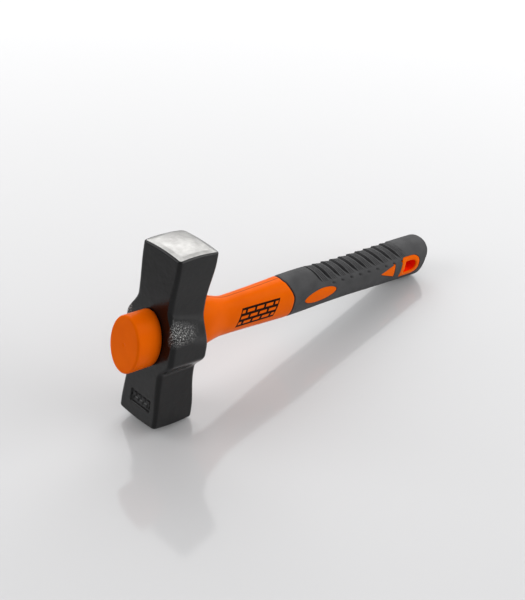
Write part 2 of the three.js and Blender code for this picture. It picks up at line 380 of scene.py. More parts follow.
@dataclass(frozen=True)
class BlackHeadPaint(Finish):
    """Satin black stoving paint on a forging.

    The paint is thin, so it follows the forging: orange peel all over, and on the shoulder of the bulge
    beside the eye the coarse scale of the die. There the grains of the scale are painted pale grey in the
    paint's colour, as painted glints that stand in for the small sparks of light off the scale.
    Peel and grit are drawn coarser than they are, so that they show. Each grain limit holds the place
    where the grains begin and the place from which they are full.
    """

    paint: str = "#080809"
    # The pale grey below is painted into the grains on the shoulder as glints, standing in for sparks of
    # light.
    pale_tone: str = "#B6B6B4"
    roughness: float = 0.22
    peel: float = 6.4
    cloud: float = 14.0
    grit: float = 0.7
    grain_side: tuple[float, float] = (16.5, 19.5)
    grain_top: tuple[float, float] = (27.0, 20.0)
    grain_foot: tuple[float, float] = (2.0, 10.0)
    grain_rear: tuple[float, float] = (10.0, -13.0)

    def shoulder(self, tree: bpy.types.NodeTree, mm: bpy.types.Node) -> bpy.types.NodeSocket:
        """Marks the shoulder of the bulge: the product of smooth steps at its four limits.

        Args:
            tree: the node tree.
            mm: the node that gives millimetres in the hammer's frame.

        Returns:
            A socket that is 1 on the shoulder and 0 away from it.
        """
        axes = add(tree, "ShaderNodeSeparateXYZ", {0: mm.outputs[0]})
        side = add(tree, "ShaderNodeMath", {0: axes.outputs["Y"]}, operation="ABSOLUTE").outputs[0]
        limits = (
            (side, self.grain_side),
            (axes.outputs["Z"], self.grain_top),
            (axes.outputs["Z"], self.grain_foot),
            (axes.outputs["X"], self.grain_rear),
        )
        product: Any = 1.0
        for socket, (none, full) in limits:
            inputs = {"Value": socket, "From Min": none, "From Max": full}
            band = add(tree, "ShaderNodeMapRange", inputs, interpolation_type="SMOOTHSTEP").outputs[0]
            product = add(tree, "ShaderNodeMath", {0: product, 1: band}, operation="MULTIPLY").outputs[0]
        return product

    def material(self) -> bpy.types.Material:
        """Builds the paint.

        Returns:
            The material.
        """
        material, tree, mm = self.start("satin_black_paint_on_forged_steel")
        shoulder = self.shoulder(tree, mm)
        strength = add(tree, "ShaderNodeMapRange", {"Value": shoulder, "To Min": 0.015, "To Max": 1.0})
        scale = self.noise(tree, mm.outputs[0], self.grit, 2.0)
        # Painted glints: grains on the shoulder turn the base colour from black to pale grey, standing in
        # for sparks of light off the scale; bare is this glint mask.
        grain = add(tree, "ShaderNodeMapRange", {"Value": scale, "From Min": 0.52, "From Max": 0.62})
        bare = add(tree, "ShaderNodeMath", {0: grain.outputs[0], 1: shoulder}, operation="MULTIPLY")
        tone = add(
            tree,
            "ShaderNodeMix",
            {"Factor": bare.outputs[0], 6: linear(self.paint), 7: linear(self.pale_tone)},
            data_type="RGBA",
        )
        rough_bump = add(
            tree,
            "ShaderNodeBump",
            {"Height": scale, "Strength": strength.outputs[0], "Distance": 0.0012},
        )
        peel = self.noise(tree, mm.outputs[0], self.peel, 3.0)
        soft_bump = add(
            tree,
            "ShaderNodeBump",
            {"Height": peel, "Strength": 0.35, "Distance": 0.0006, "Normal": rough_bump.outputs[0]},
        )
        cloud = self.noise(tree, mm.outputs[0], self.cloud, 4.0)
        gloss = self.spread(tree, cloud, self.roughness - 0.03, self.roughness + 0.04)
        shader = add(
            tree,
            "ShaderNodeBsdfPrincipled",
            {
                "Base Color": tone.outputs[2],
                "Roughness": gloss,
                "IOR": 1.45,
                "Specular IOR Level": 0.34,
                "Normal": soft_bump.outputs[0],
            },
        )
        self.close(tree, shader)
        return material


@dataclass(frozen=True)
class GroundSteel(Finish):
    """Bright ground and lacquered steel of the striking faces.

    Grinding leaves fine slanting lines and a soft mottle, so the face looks pale and even with a dull
    sheen. The lines are drawn wider apart than they are, so that they show.
    """

    steel: str = "#A4A3A1"
    shade: str = "#8A8987"
    roughness: float = 0.34
    line: float = 0.5
    mottle: float = 5.5

    def material(self) -> bpy.types.Material:
        """Builds the steel.

        Returns:
            The material.
        """
        material, tree, mm = self.start("bright_ground_steel")
        inputs = {"Vector": mm.outputs[0], "Rotation": (0, 0, 0.5), "Scale": (0.08, 1.0, 1.0)}
        stretched = add(tree, "ShaderNodeMapping", inputs)
        lines = self.noise(tree, stretched.outputs[0], self.line, 4.0)
        mottle = self.noise(tree, mm.outputs[0], self.mottle, 4.0)
        tint = add(
            tree,
            "ShaderNodeMix",
            {"Factor": self.spread(tree, mottle, 0.0, 1.0), 6: linear(self.steel), 7: linear(self.shade)},
            data_type="RGBA",
        )
        bump = add(tree, "ShaderNodeBump", {"Height": lines, "Strength": 0.5, "Distance": 0.0002})
        shader = add(
            tree,
            "ShaderNodeBsdfPrincipled",
            {
                "Base Color": tint.outputs[2],
                "Metallic": 1.0,
                "Roughness": self.spread(tree, lines, self.roughness - 0.05, self.roughness + 0.1),
                "Normal": bump.outputs[0],
            },
        )
        self.close(tree, shader)
        return material


@dataclass(frozen=True)
class OrangePolypropylene(Finish):
    """Injection-moulded orange polypropylene.

    It is glossy enough for a soft highlight, a little milky, and faintly uneven where the melt has
    flowed. On the jacket it also has the fine witness line of the mould's parting along the top and the
    bottom, darkened by a thin band of painted shade that stands in for the shadow of its flash, and a
    small printed mark: a slanted patch of brickwork in dark ink.
    """

    name: str = "orange_polypropylene"
    colour: str = "#E76302"
    deep: str = "#DF5D02"
    roughness: float = 0.33
    flow: float = 18.0
    grain: float = 0.8
    printed: bool = False
    # The seam colour below is painted shade along the mould's witness line, for the shadow its flash casts,
    # fading out within a fraction of a millimetre.
    seam: str = "#8A3A08"
    seam_shade_band: tuple[float, float] = (0.2, 0.6)
    ink: str = "#1E0F0A"
    brick: tuple[float, float] = (8.25, 4.0)
    bricks: int = 4
    courses: int = 3
    joint: float = 1.05
    border: tuple[float, float] = (0.5, 0.55)
    mark_corner: tuple[float, float] = (55.0, -6.6)
    mark_slant: float = 0.3

    def brick_mark(self, tree: bpy.types.NodeTree, mm: bpy.types.Node) -> bpy.types.NodeSocket:
        """Draws the printed mark: brick joints in a slanted frame, on the side of the jacket that faces -Y.

        Args:
            tree: the node tree.
            mm: the node that gives millimetres in the hammer's frame.

        Returns:
            A socket that is 1 where there is ink.
        """
        axes = add(tree, "ShaderNodeSeparateXYZ", {0: mm.outputs[0]})
        inputs = {0: axes.outputs["Z"], 1: -self.mark_slant, 2: axes.outputs["X"]}
        lean = add(tree, "ShaderNodeMath", inputs, operation="MULTIPLY_ADD")
        flat = add(tree, "ShaderNodeCombineXYZ", {"X": lean.outputs[0], "Y": axes.outputs["Z"]})
        start = (-self.mark_corner[0], -self.mark_corner[1], 0.0)
        placed = add(tree, "ShaderNodeMapping", {"Vector": flat.outputs[0], "Location": start})
        wall = add(
            tree,
            "ShaderNodeTexBrick",
            {
                "Vector": placed.outputs[0],
                "Scale": 1.0,
                "Mortar Size": self.joint,
                "Mortar Smooth": 0.15,
                "Brick Width": self.brick[0],
                "Row Height": self.brick[1],
            },
            offset=0.5,
        )
        length, height = self.bricks * self.brick[0], self.courses * self.brick[1]
        side, top = self.border
        spot = add(tree, "ShaderNodeSeparateXYZ", {0: placed.outputs[0]})
        inputs = {0: spot.outputs["X"], 1: length / 2}
        from_middle = add(tree, "ShaderNodeMath", inputs, operation="SUBTRACT")
        aside = add(tree, "ShaderNodeMath", {0: from_middle.outputs[0]}, operation="ABSOLUTE")
        inputs = {0: aside.outputs[0], 1: length / 2 - side}
        end = add(tree, "ShaderNodeMath", inputs, operation="GREATER_THAN")
        inputs = {0: wall.outputs["Fac"], 1: end.outputs[0]}
        inked: Any = add(tree, "ShaderNodeMath", inputs, operation="MAXIMUM").outputs[0]
        limits = (
            (spot.outputs["X"], -side, "GREATER_THAN"),
            (spot.outputs["X"], length + side, "LESS_THAN"),
            (spot.outputs["Y"], -top, "GREATER_THAN"),
            (spot.outputs["Y"], height + top, "LESS_THAN"),
            (axes.outputs["Y"], 0.0, "LESS_THAN"),
        )
        for socket, limit, test in limits:
            within = add(tree, "ShaderNodeMath", {0: socket, 1: limit}, operation=test)
            inputs = {0: inked, 1: within.outputs[0]}
            inked = add(tree, "ShaderNodeMath", inputs, operation="MULTIPLY").outputs[0]
        return inked

    def marked(
        self, tree: bpy.types.NodeTree, mm: bpy.types.Node, colour: bpy.types.NodeSocket
    ) -> bpy.types.NodeSocket:
        """Draws painted shade along the witness line and the printed mark over the plastic's colour.

        Args:
            tree: the node tree.
            mm: the node that gives millimetres in the hammer's frame.
            colour: the socket of the plastic's colour.

        Returns:
            The socket of the finished colour.
        """
        axes = add(tree, "ShaderNodeSeparateXYZ", {0: mm.outputs[0]})
        aside = add(tree, "ShaderNodeMath", {0: axes.outputs["Y"]}, operation="ABSOLUTE").outputs[0]
        # Painted shade: a thin band along the witness line darkens towards the seam colour, for the shadow
        # of the flash.
        near, far = self.seam_shade_band
        inputs = {"Value": aside, "From Min": near, "From Max": far, "To Min": 0.6, "To Max": 0.0}
        seam = add(tree, "ShaderNodeMapRange", inputs)
        inputs = {"Factor": seam.outputs[0], 6: colour, 7: linear(self.seam)}
        seam_shaded = add(tree, "ShaderNodeMix", inputs, data_type="RGBA")
        inputs = {"Factor": self.brick_mark(tree, mm), 6: seam_shaded.outputs[2], 7: linear(self.ink)}
        return add(tree, "ShaderNodeMix", inputs, data_type="RGBA").outputs[2]

    def material(self) -> bpy.types.Material:
        """Builds the plastic, with the painted shade along its witness line and its printed mark where it
        has them.

        Returns:
            The material.
        """
        material, tree, mm = self.start(self.name)
        flow = self.noise(tree, mm.outputs[0], self.flow, 3.0)
        tone = add(
            tree,
            "ShaderNodeMix",
            {"Factor": self.spread(tree, flow, 0.0, 1.0), 6: linear(self.colour), 7: linear(self.deep)},
            data_type="RGBA",
        )
        colour = self.marked(tree, mm, tone.outputs[2]) if self.printed else tone.outputs[2]
        grain = self.noise(tree, mm.outputs[0], self.grain, 2.0)
        bump = add(tree, "ShaderNodeBump", {"Height": grain, "Strength": 0.12, "Distance": 0.0001})
        shader = add(
            tree,
            "ShaderNodeBsdfPrincipled",
            {
                "Base Color": colour,
                "Roughness": self.spread(tree, flow, self.roughness - 0.03, self.roughness + 0.05),
                "IOR": 1.49,
                "Specular IOR Level": 0.045,
                "Specular Tint": linear("#FFB266"),
                "Subsurface Weight": 0.05,
                "Subsurface Scale": 0.002,
                "Normal": bump.outputs[0],
            },
        )
        self.close(tree, shader)
        return material


@dataclass(frozen=True)
class GripRubber(Finish):
    """Dark grey thermoplastic rubber from a spark-eroded mould.

    The mould's fine pits kill the gloss, so the grip is matte with a broad, weak sheen. Use leaves soft
    clouds that are a little lighter and more polished. The pits are drawn coarser than they are, so that
    they show.
    """

    colour: str = "#414142"
    pale_tone: str = "#4C4C4D"
    roughness: float = 0.6
    cloud: float = 12.0
    pit: float = 0.55

    def material(self) -> bpy.types.Material:
        """Builds the rubber.

        Returns:
            The material.
        """
        material, tree, mm = self.start("matte_thermoplastic_rubber")
        cloud = self.noise(tree, mm.outputs[0], self.cloud, 4.0)
        tone = add(
            tree,
            "ShaderNodeMix",
            {"Factor": self.spread(tree, cloud, 0.0, 1.0), 6: linear(self.colour), 7: linear(self.pale_tone)},
            data_type="RGBA",
        )
        pits = self.noise(tree, mm.outputs[0], self.pit, 3.0)
        bump = add(tree, "ShaderNodeBump", {"Height": pits, "Strength": 0.4, "Distance": 0.0003})
        shader = add(
            tree,
            "ShaderNodeBsdfPrincipled",
            {
                "Base Color": tone.outputs[2],
                "Roughness": self.spread(tree, cloud, self.roughness + 0.06, self.roughness - 0.04),
                "IOR": 1.45,
                "Specular IOR Level": 0.14,
                "Normal": bump.outputs[0],
            },
        )
        self.close(tree, shader)
        return material


@dataclass(frozen=True)
class GlassFibre(Finish):
    """Pultruded glass fibre in polyester: pale straw, with long glassy streaks along the rod."""

    resin: str = "#D8C98E"
    strand: str = "#EFE7C4"
    streak: float = 0.6

    def material(self) -> bpy.types.Material:
        """Builds the rod's finish.

        Returns:
            The material.
        """
        material, tree, mm = self.start("pultruded_glass_fibre")
        drawn = add(tree, "ShaderNodeMapping", {"Vector": mm.outputs[0], "Scale": (0.03, 1.0, 1.0)})
        strands = self.noise(tree, drawn.outputs[0], self.streak, 5.0)
        tone = add(
            tree,
            "ShaderNodeMix",
            {"Factor": self.spread(tree, strands, 0.0, 1.0), 6: linear(self.resin), 7: linear(self.strand)},
            data_type="RGBA",
        )
        bump = add(tree, "ShaderNodeBump", {"Height": strands, "Strength": 0.3, "Distance": 0.0001})
        inputs = {"Base Color": tone.outputs[2], "Roughness": 0.4, "IOR": 1.52, "Normal": bump.outputs[0]}
        self.close(tree, add(tree, "ShaderNodeBsdfPrincipled", inputs))
        return material


@dataclass(frozen=True)
class CastEpoxy(Finish):
    """Cast epoxy: amber, smooth and glossy, clouded by the air that was stirred in."""

    amber: str = "#A9803C"
    cloudy: str = "#C9A25E"
    air: float = 3.0

    def material(self) -> bpy.types.Material:
        """Builds the resin.

        Returns:
            The material.
        """
        material, tree, mm = self.start("cast_epoxy")
        air = self.noise(tree, mm.outputs[0], self.air, 4.0)
        tone = add(
            tree,
            "ShaderNodeMix",
            {"Factor": self.spread(tree, air, 0.0, 1.0), 6: linear(self.amber), 7: linear(self.cloudy)},
            data_type="RGBA",
        )
        haze = self.spread(tree, air, 0.15, 0.3)
        inputs = {"Base Color": tone.outputs[2], "Roughness": haze, "IOR": 1.55}
        self.close(tree, add(tree, "ShaderNodeBsdfPrincipled", inputs))
        return material


# ---------------------------------------------------------------------------------------------------------
# outlines
# ---------------------------------------------------------------------------------------------------------


@dataclass(frozen=True)
class Outline:
    """A rounded outline on the handle's side, in X and Z, given by its distance from a middle point."""

    x: float
    z: float

    def reach(self, angle: np.ndarray) -> np.ndarray:
        """Distance from the middle to the outline, for each direction."""
        raise NotImplementedError

    def curve(self, grow: float = 0.0, count: int = 120) -> np.ndarray:
        """Points of the outline, moved out by grow.

        Args:
            grow: how far out, in millimetres.
            count: how many points.

        Returns:
            An array of count x 2, holding X and Z.
        """
        angle = np.arange(count) * TAU / count
        distance = self.reach(angle) + grow
        return np.stack([self.x + distance * np.cos(angle), self.z + distance * np.sin(angle)], axis=-1)


@dataclass(frozen=True)
class LeafOutline(Outline):
    """A pointed oval, |u/a|^p + |v/b|^p = 1 with p a little under 2, turned by a small angle."""

    half_length: float = 15.3
    half_height: float = 4.95
    power: float = 1.85
    turn: float = math.radians(4.0)

    def reach(self, angle: np.ndarray) -> np.ndarray:
        """Distance to the oval: the inverse of the power mean of the direction's two parts.

        Args:
            angle: the directions.

        Returns:
            The distances.
        """
        u = np.abs(np.cos(angle - self.turn)) / self.half_length
        v = np.abs(np.sin(angle - self.turn)) / self.half_height
        return (u**self.power + v**self.power) ** (-1.0 / self.power)


@dataclass(frozen=True)
class ArrowOutline(Outline):
    """A triangle that points to the head, with slightly rounded corners.

    A side at distance d with its normal n is met at d / (n . direction). The largest inverse of the three
    wins, and a high power mean of them rounds the corners.
    """

    length: float = 15.5
    half_height: float = 4.9
    sharpness: float = 16.0

    def reach(self, angle: np.ndarray) -> np.ndarray:
        """Distance to the nearest of the three sides.

        Args:
            angle: the directions.

        Returns:
            The distances.
        """
        flank = math.hypot(self.length, self.half_height)
        back = self.length / 3
        slant = self.half_height * (self.length - back) / flank
        cos, sin = np.cos(angle), np.sin(angle)
        sides = (
            cos / back,
            (-self.half_height * cos + self.length * sin) / flank / slant,
            (-self.half_height * cos - self.length * sin) / flank / slant,
        )
        total = sum(np.maximum(side, 0.0) ** self.sharpness for side in sides)
        return total ** (-1.0 / self.sharpness)


@dataclass(frozen=True)
class DOutline(Outline):
    """A letter D lying along the handle: straight and slightly slanted in front, round towards the butt.

    The straight side is met at back / (slant sin - cos), and the round one is a power oval. A high power
    mean of their inverses picks the nearer of the two and rounds the corners.
    """

    back: float = 9.0
    front: float = 11.0
    half_height: float = 7.6
    power: float = 2.7
    slant: float = 0.1
    sharpness: float = 14.0

    def reach(self, angle: np.ndarray) -> np.ndarray:
        """Distance to the straight side or to the round one, whichever is nearer.

        Args:
            angle: the directions.

        Returns:
            The distances.
        """
        cos, sin = np.cos(angle), np.sin(angle)
        straight = np.maximum(-cos + self.slant * sin, 0.0) / self.back
        across = (np.abs(sin) / self.half_height) ** self.power
        rounded = (np.maximum(cos, 0.0) / self.front) ** self.power + across
        both = straight**self.sharpness + rounded ** (self.sharpness / self.power)
        return both ** (-1.0 / self.sharpness)


# ---------------------------------------------------------------------------------------------------------
# the head
# ---------------------------------------------------------------------------------------------------------


@dataclass
class Head:
    """The forged head: two crowned striking faces on flared shanks, and a bulge round the oval eye.

    shoulder holds the heights between which the bulge runs out above, at the front of the head, and
    shoulder_fall how much lower they lie at its rear. foot holds how far below the middle the bulge runs
    out. A lip is the radius of the painted edge round a striking face. The mark is a sunk panel with
    small raised bricks.
    """

    half_height: float
    face_half_width: float = 17.0
    face_half_depth: float = 16.2
    waist_half_width: float = 15.55
    waist_half_depth: float = 15.3
    waist_height: float = 25.0
    flare_end: float = 54.0
    eye_bulge: float = 7.5
    shoulder: tuple[float, float] = (7.5, 25.0)
    shoulder_fall: tuple[float, float] = (11.5, 6.3)
    foot: tuple[float, float] = (9.0, 21.5)
    corner: float = 3.1
    face_corner: float = 2.5
    upper_lip: float = 1.4
    lower_lip: float = 2.2
    face_offset: float = 1.2
    chamfer: tuple[float, float] = (2.6, 1.2)
    crown: float = 1.0
    eye_rear: tuple[float, float] = (15.4, 10.6)
    eye_front: tuple[float, float] = (17.2, 11.6)
    mark_middle: tuple[float, float] = (-1.7, -45.0)
    mark_half: tuple[float, float] = (9.2, 4.6)
    mark_corner: float = 1.2
    mark_depth: float = 1.1
    mark_course: float = 3.3
    mark_spacing: float = 4.2
    mark_brick: tuple[float, float, float] = (1.6, 1.15, 0.4)

    def half_width(self, z: np.ndarray) -> np.ndarray:
        """Half the width at height z without the bulge: a waist, flared to the faces."""
        flare = ease(np.abs(z), self.waist_height, self.flare_end)
        return self.waist_half_width + (self.face_half_width - self.waist_half_width) * flare

    def swelling(self, z: np.ndarray, rear: np.ndarray) -> np.ndarray:
        """How far the cheek swells out beside the eye.

        The bulge ends level below. Above, its shoulder falls away towards the rear.

        Args:
            z: heights.
            rear: 0 at the front of the head to 1 at its rear.

        Returns:
            The swelling.
        """
        start, end = (height - fall * rear for height, fall in zip(self.shoulder, self.shoulder_fall))
        upper = 1.0 - ease(z, start, end)
        lower = 1.0 - ease(-z, *self.foot)
        return self.eye_bulge * upper * lower

    def half_depth(self, z: np.ndarray) -> np.ndarray:
        """Half the depth at height z, flared to the faces."""
        flare = ease(np.abs(z), self.waist_height, self.flare_end)
        return self.waist_half_depth + (self.face_half_depth - self.waist_half_depth) * flare

    def section(self) -> np.ndarray:
        """One turn round a rectangle with round corners, as weights.

        A point is x = a (D - r) + b r and y = c (W - r) + d r, where D and W are the half sizes and r is
        the corner's radius. The side towards -X, which carries the mark, has more points.

        Returns:
            An array of columns x 4, holding a, b, c and d.
        """
        parts = []
        signs = ((1, 1), (-1, 1), (-1, -1), (1, -1))
        corner_points = 11
        side_points = (28, 96, 28, 28)
        for i, (sx, sy) in enumerate(signs):
            turn = (i + np.linspace(0.0, 1.0, corner_points)) * math.pi / 2
            flat_x, flat_y = np.full(corner_points, sx), np.full(corner_points, sy)
            parts.append(np.stack([flat_x, np.cos(turn), flat_y, np.sin(turn)], axis=-1))
            nx, ny = signs[(i + 1) % 4]
            t = np.linspace(0.0, 1.0, side_points[i])[1:-1, None]
            start = np.array([sx, math.cos(turn[-1]), sy, math.sin(turn[-1])])
            end = np.array([nx, math.cos(turn[-1]), ny, math.sin(turn[-1])])
            parts.append(start + (end - start) * t)
        return np.vstack(parts)

    def half_rows(self, lip: float) -> np.ndarray:
        """The rows from the middle of a face to the middle of the head.

        They run over the crowned face, down the straight chamfer and round the lip, which begins 84
        degrees up its round, and then down the side, closer together where the mark is.

        Args:
            lip: radius of the painted edge round the face.

        Returns:
            An array of rows x 5: half depth, half width, corner radius, height at the middle of a side,
            and bow, which is how far a corner of the row lies below that.
        """
        level = self.half_height - self.crown - self.chamfer[1]
        begin = math.radians(84.0)
        edge = level - lip * math.sin(begin)
        inner = lip * (1 - math.cos(begin)) + self.chamfer[0]
        k = np.linspace(0.05, 1.0, 15)
        slant = np.linspace(0.0, 1.0, 5)[1:]
        turn = np.linspace(begin, 0.0, 8)[1:]
        share = np.concatenate([k, np.ones(len(slant) + len(turn))])
        bevel = inner - self.chamfer[0] * slant
        inset = np.concatenate([np.full(len(k), inner), bevel, lip * (1 - np.cos(turn))])
        domed = self.half_height - self.crown * k * k
        sunk = self.half_height - self.crown - self.chamfer[1] * slant
        height = np.concatenate([domed, sunk, edge + lip * np.sin(turn)])
        depth, width = (self.face_half_depth - inset) * share, (self.face_half_width - inset) * share
        radius = np.maximum(self.face_corner - inset, 0.4) * share
        end = np.stack([depth, width, radius, height, self.crown * share * share], axis=-1)
        reach = self.mark_half[1] + 1.2
        fine = abs(self.mark_middle[1]) + np.linspace(reach, -reach, 34)
        before, after = np.linspace(edge - 0.6, fine[0] + 0.8, 8), np.linspace(fine[-1] - 0.9, 0.0, 44)
        z = np.concatenate([before, fine, after])
        bow = self.crown * ease(z, edge - 14.0, edge)
        radius = self.corner + (self.face_corner - self.corner) * ease(z, self.waist_height, self.flare_end)
        return np.vstack([end, np.stack([self.half_depth(z), self.half_width(z), radius, z, bow], axis=-1)])

    def rows(self) -> np.ndarray:
        """The rows from the middle of the upper face to the middle of the lower one, as in half_rows."""
        upper, lower = self.half_rows(self.upper_lip), self.half_rows(self.lower_lip)
        return np.vstack([upper, lower[-2::-1] * np.array([1, 1, 1, -1, -1])])

    def surface(self) -> Shell:
        """The outside: each row of the section at its own size and height.

        A row's height falls with the square of the distance from the middle, which gives the faces their
        crown: z = z0 - bow ((x/D)^2 + (y/W)^2 - 1). The mark is pressed into the -X side.

        Returns:
            The shell. The striking faces and their chamfers have finish 1, and the rest has finish 0.
        """
        a, b, c, d = self.section().T
        depth, width, radius, height, bow = (v[:, None] for v in self.rows().T)
        x = a * (depth - radius) + b * radius
        swell = self.swelling(height, 0.5 + 0.5 * x / depth)
        y = c * (width + swell - radius) + d * radius
        z = height - bow * ((x / depth) ** 2 + (y / (width + swell)) ** 2 - 1)
        x = x + np.where(x < -0.93 * depth, self.mark_relief(y, z), 0.0)
        x = x + self.face_offset * ease(np.abs(height), self.waist_height, self.flare_end)
        chamfer_foot = self.half_height - self.crown - self.chamfer[1]
        ground = np.abs(height[:, 0]) > chamfer_foot + 0.05
        return Shell(np.stack([x, y, z], axis=-1), Ends.POLES, ground.astype(int))

    def mark_relief(self, y: np.ndarray, z: np.ndarray) -> np.ndarray:
        """Depth of the pressed mark: a panel with round corners, in which two courses of bricks stand up.

        Args:
            y: places across the head.
            z: heights.

        Returns:
            How far the surface is pressed in.
        """
        u = y - self.mark_middle[0]
        v = z - self.mark_middle[1]
        panel = rounded_box(u, v, *self.mark_half, self.mark_corner)
        pressed = 1.0 - ease(panel, -0.3, 0.3)
        half_brick = self.mark_spacing / 2
        course = np.floor(v / self.mark_course)
        along = (u + np.where(course % 2 == 0, 0.0, half_brick)) % self.mark_spacing - half_brick
        brick = rounded_box(along, v - (course + 0.5) * self.mark_course, *self.mark_brick)
        ends = 1.0 - ease(np.abs(u), 7.6, 7.9)
        raised = (1.0 - ease(brick, -0.25, 0.25)) * (np.abs(v) < self.mark_course) * ends
        return self.mark_depth * (pressed - 0.6 * raised * pressed)

    def eye(self) -> Shell:
        """The oval hole, tapered wider to the front, drawn longer than the head is deep.

        Returns:
            The space to cut away.
        """
        x = np.array([-2.0, 2.0]) * self.waist_half_depth
        t = (self.waist_half_depth - x) / (2 * self.waist_half_depth)
        half_z = self.eye_rear[0] + (self.eye_front[0] - self.eye_rear[0]) * t
        half_y = self.eye_rear[1] + (self.eye_front[1] - self.eye_rear[1]) * t
        angle = np.arange(96) * TAU / 96
        y = half_y[:, None] * np.cos(angle)
        z = half_z[:, None] * np.sin(angle)
        return Shell(np.stack([np.broadcast_to(x[:, None], y.shape), y, z], axis=-1))

    def make(self, place: Matrix, paint: bpy.types.Material, steel: bpy.types.Material) -> bpy.types.Object:
        """Builds the head and puts it in the CAD head's place.

        Args:
            place: the matrix from the hammer's frame to the row frame.
            paint: the finish of the forging.
            steel: the finish of the striking faces and their chamfers.

        Returns:
            The head.
        """
        piece = build_mesh("head_forging", [self.surface()], [paint, steel])
        cut(piece, [self.eye()])
        settle(piece, place)
        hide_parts("head")
        return piece


def rounded_box(u: np.ndarray, v: np.ndarray, half_u: float, half_v: float, radius: float) -> np.ndarray:
    """Distance to a rectangle with round corners about the origin, below 0 inside it.

    Args:
        u: places along the first axis.
        v: places along the second axis.
        half_u: half the rectangle's first side.
        half_v: half its second side.
        radius: radius of its corners.

    Returns:
        The distances.
    """
    du = np.abs(u) - half_u + radius
    dv = np.abs(v) - half_v + radius
    outside = np.hypot(np.maximum(du, 0.0), np.maximum(dv, 0.0))
    return outside + np.minimum(np.maximum(du, dv), 0.0) - radius


# ---------------------------------------------------------------------------------------------------------
# the handle
# ---------------------------------------------------------------------------------------------------------


